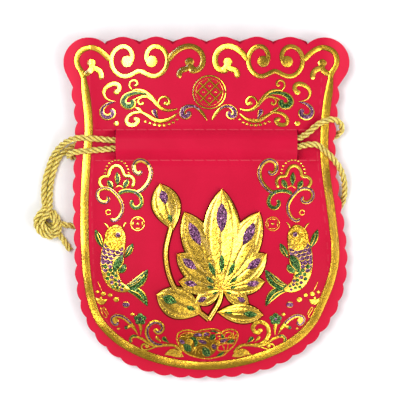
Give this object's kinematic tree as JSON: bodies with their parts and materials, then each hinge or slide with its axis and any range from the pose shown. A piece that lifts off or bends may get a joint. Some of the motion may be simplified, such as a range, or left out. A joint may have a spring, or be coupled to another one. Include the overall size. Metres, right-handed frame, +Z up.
{
  "type": "drawstring pouch",
  "caption": "Flat scalloped card pouch with an open mouth, a belt across front and back that hides twisted drawstrings, a side knot and a raised gold flower.",
  "frame": {"origin": "under the middle of the panels' box, on the surface that the pouch lies on", "axes": "+X to the right of the front, +Y to the mouth, +Z up, out of the front face"},
  "size_m": [0.133, 0.1432, 0.0141],
  "materials": {
    "red_card": "matte dyed card",
    "gold_foil": "gold foil stamped on card",
    "gold_cord": "twisted metallic cord"
  },
  "bodies": {
    "root": {"front_panel": "red_card", "back_panel": "red_card", "front_ornament": "gold_foil", "left_cord": "gold_cord", "right_cord": "gold_cord", "cord_knot": "gold_cord", "upper_tail": "gold_cord", "lower_tail": "gold_cord"}
  },
  "joints": []
}
